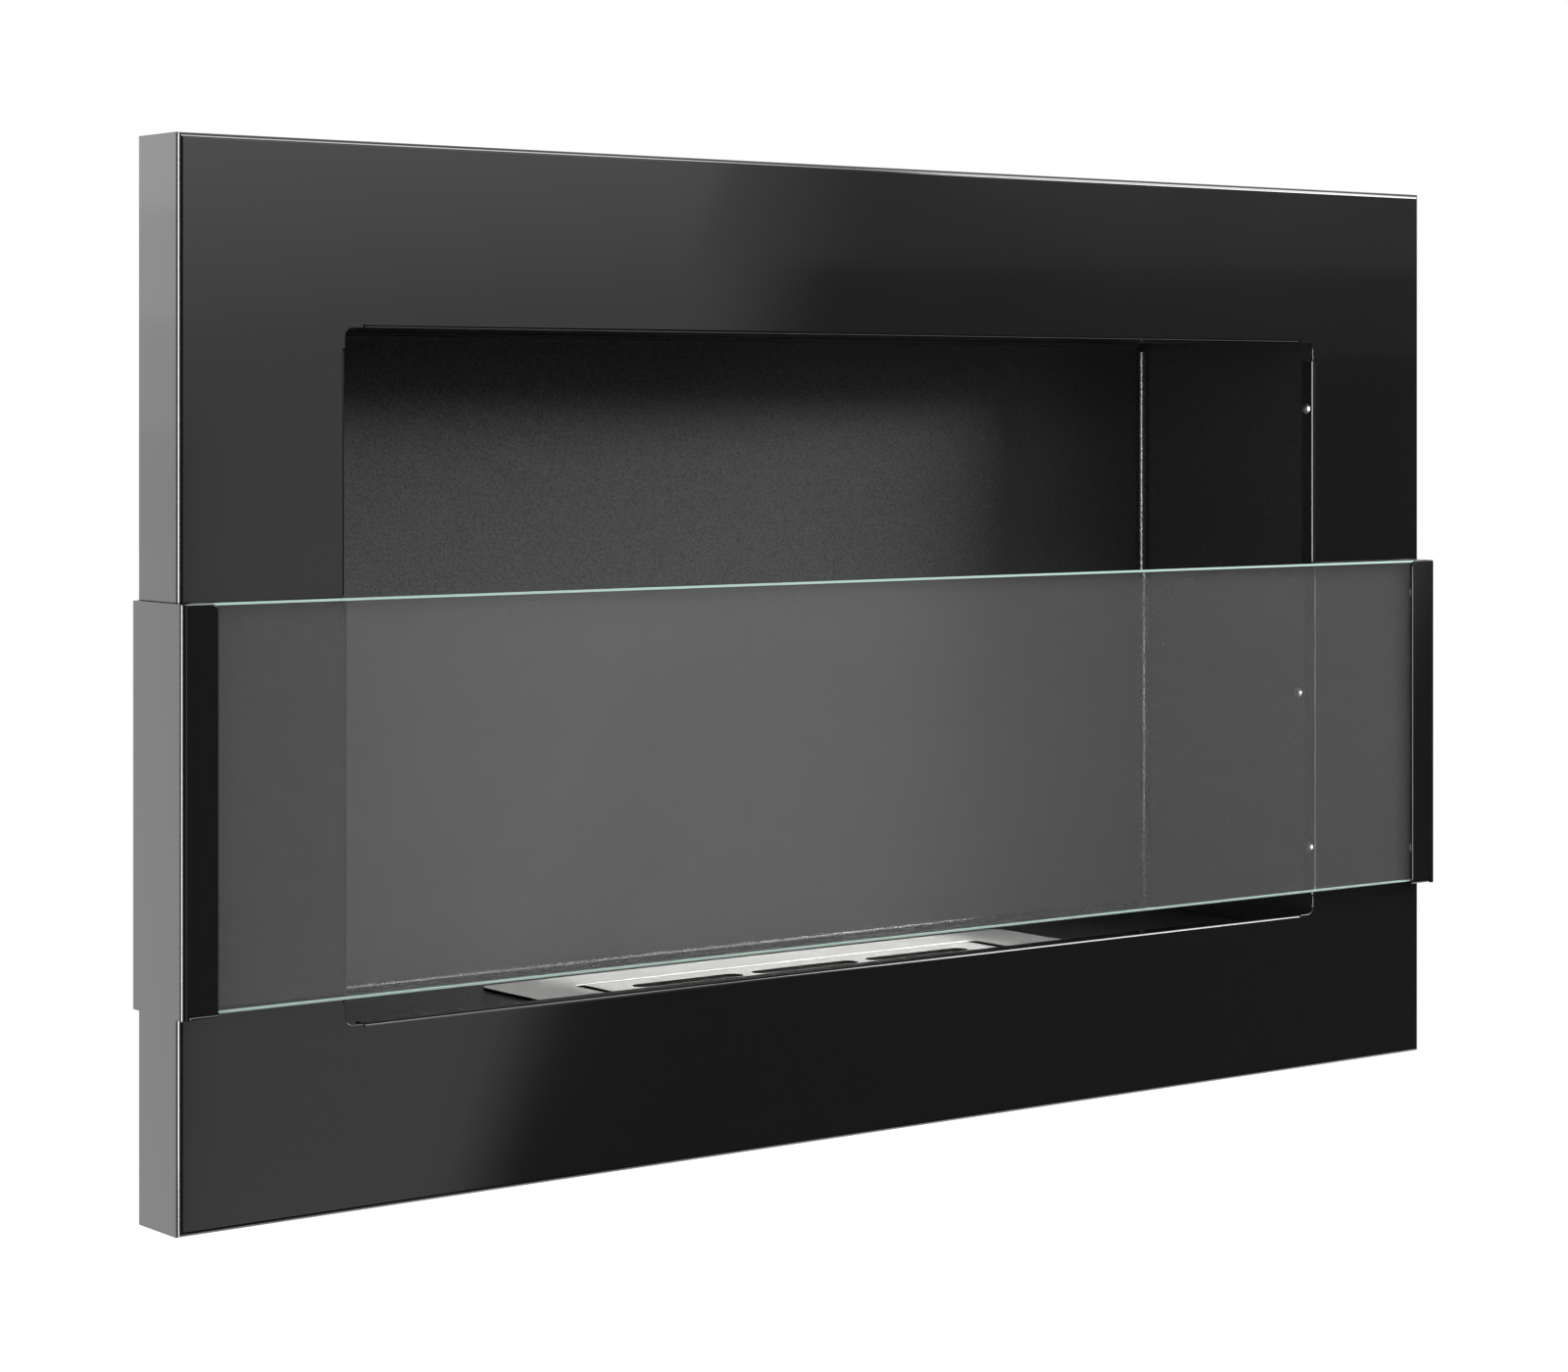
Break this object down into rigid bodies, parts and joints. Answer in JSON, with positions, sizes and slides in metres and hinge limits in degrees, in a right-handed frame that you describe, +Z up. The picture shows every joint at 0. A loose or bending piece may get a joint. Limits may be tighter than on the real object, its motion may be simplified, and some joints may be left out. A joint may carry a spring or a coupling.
{
  "type": "bioethanol wall fireplace",
  "caption": "Wall-hung bioethanol fireplace: folded black steel frame riveted to an open firebox, with a drop-in burner and a glass screen in sliding side clips.",
  "frame": {"origin": "midway between the round ends of the two hanging keyholes, on the rear face of the back sheet", "axes": "+X to the right as seen from the room, +Y from the room towards the wall, +Z up"},
  "size_m": [0.6552, 0.1277, 0.4],
  "materials": {
    "gloss_black": "high-gloss black powder coat",
    "satin_black": "smooth satin black heat-resistant coat",
    "textured_black": "fine-texture black heat-resistant coat",
    "stainless_steel": "brushed stainless steel",
    "rivet_steel": "bright drawn steel",
    "clear_glass": "polished tempered glass with ground edges",
    "clear_silicone": "translucent moulded silicone",
    "black_rubber": "matt moulded rubber",
    "ceramic_fibre": "white pressed fibre"
  },
  "bodies": {
    "fireplace": {"front_frame": "gloss_black", "firebox_left_wall": "satin_black", "firebox_right_wall": "satin_black", "firebox_top": "satin_black", "firebox_floor": "satin_black", "firebox_back": "satin_black", "firebox_liner": "textured_black", "frame_bracket_left": "satin_black", "frame_bracket_right": "satin_black", "lip_rivets": "rivet_steel", "bracket_rivets": "rivet_steel", "top_rivets": "rivet_steel", "floor_rivets": "rivet_steel", "back_rivets": "rivet_steel", "wall_buffers": "black_rubber"},
    "burner": {"burner_top_plate": "stainless_steel", "burner_tray": "stainless_steel", "flame_plate_rails": "stainless_steel", "ceramic_wool": "ceramic_fibre"},
    "loose_flame_plate": {"flame_plate": "stainless_steel"},
    "clip_left": {"glass_clip_left": "gloss_black"},
    "clip_right": {"glass_clip_right": "gloss_black"},
    "glass_screen": {"glass_pane": "clear_glass", "glass_bumpers": "clear_silicone"}
  },
  "joints": [
    {"name": "screen_slide_left", "type": "slide", "parent": "fireplace", "child": "clip_left", "axis": [0, 0, 1], "range_m": [-0.077, 0.168]},
    {"name": "screen_slide_right", "type": "slide", "parent": "fireplace", "child": "clip_right", "axis": [0, 0, 1], "range_m": [-0.077, 0.168]},
    {"name": "glass_lift", "type": "slide", "parent": "clip_left", "child": "glass_screen", "axis": [0, 0, 1], "range_m": [0, 0.33]},
    {"name": "burner_lift", "type": "slide", "parent": "fireplace", "child": "burner", "axis": [0, 0, 1], "range_m": [0, 0.12]},
    {"name": "flame_plate_lift", "type": "slide", "parent": "burner", "child": "loose_flame_plate", "axis": [0, 0, 1], "range_m": [0, 0.1]}
  ],
  "couplings": [
    {"joint": "screen_slide_right", "follows": "screen_slide_left", "ratio": 1}
  ]
}
